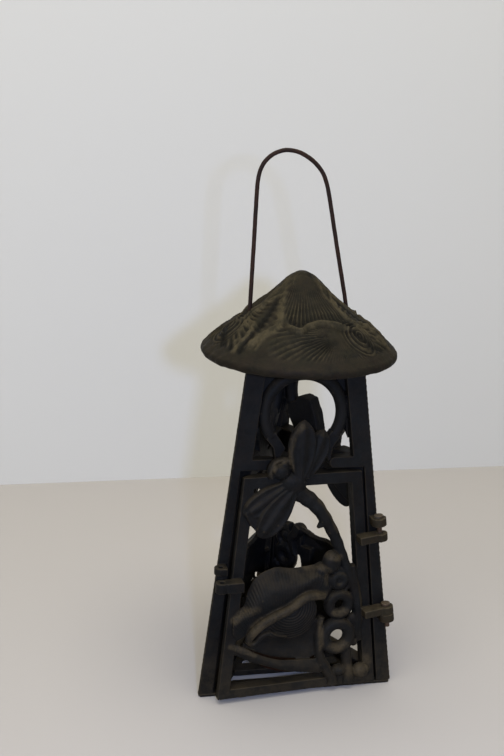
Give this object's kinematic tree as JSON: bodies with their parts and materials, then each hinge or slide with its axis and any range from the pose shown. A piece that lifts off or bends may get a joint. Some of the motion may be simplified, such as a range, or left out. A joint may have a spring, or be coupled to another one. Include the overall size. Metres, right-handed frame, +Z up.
{
  "type": "pagoda candle lantern",
  "caption": "Three-sided cast garden lantern for a tealight, with openwork panels, a hinged front door, a round leaf-covered roof and a wire handle.",
  "frame": {"origin": "middle of the floor, on the underside of the base plate, below the roof's tip", "axes": "+Z up along the lantern's axis, -Y out through the hinged front door, +X towards the hinge side"},
  "size_m": [0.1246, 0.1314, 0.331],
  "materials": {
    "body_iron": "weathered, dusty on top faces",
    "roof_iron": "weathered olive brown",
    "wire": "dull brown",
    "cup_steel": "rusty",
    "old_steel": "dull"
  },
  "bodies": {
    "lantern": {"front_frame": "body_iron", "left_rear_panel": "body_iron", "right_rear_panel": "body_iron", "upper_hinge_pin": "old_steel", "lower_hinge_pin": "old_steel", "roof": "roof_iron", "handle": "wire", "base_plate": "body_iron", "candle_cup": "cup_steel", "cup_screw": "old_steel", "base_screws": "old_steel", "corner_screws": "old_steel"},
    "door": {"door": "body_iron"}
  },
  "joints": [
    {"name": "door_hinge", "type": "hinge", "parent": "lantern", "child": "door", "pos_m": [0.0617, -0.04156, 0.00038], "axis": [-0.1265, 0.073, 0.9893], "range_deg": [-5.2, 165]}
  ]
}
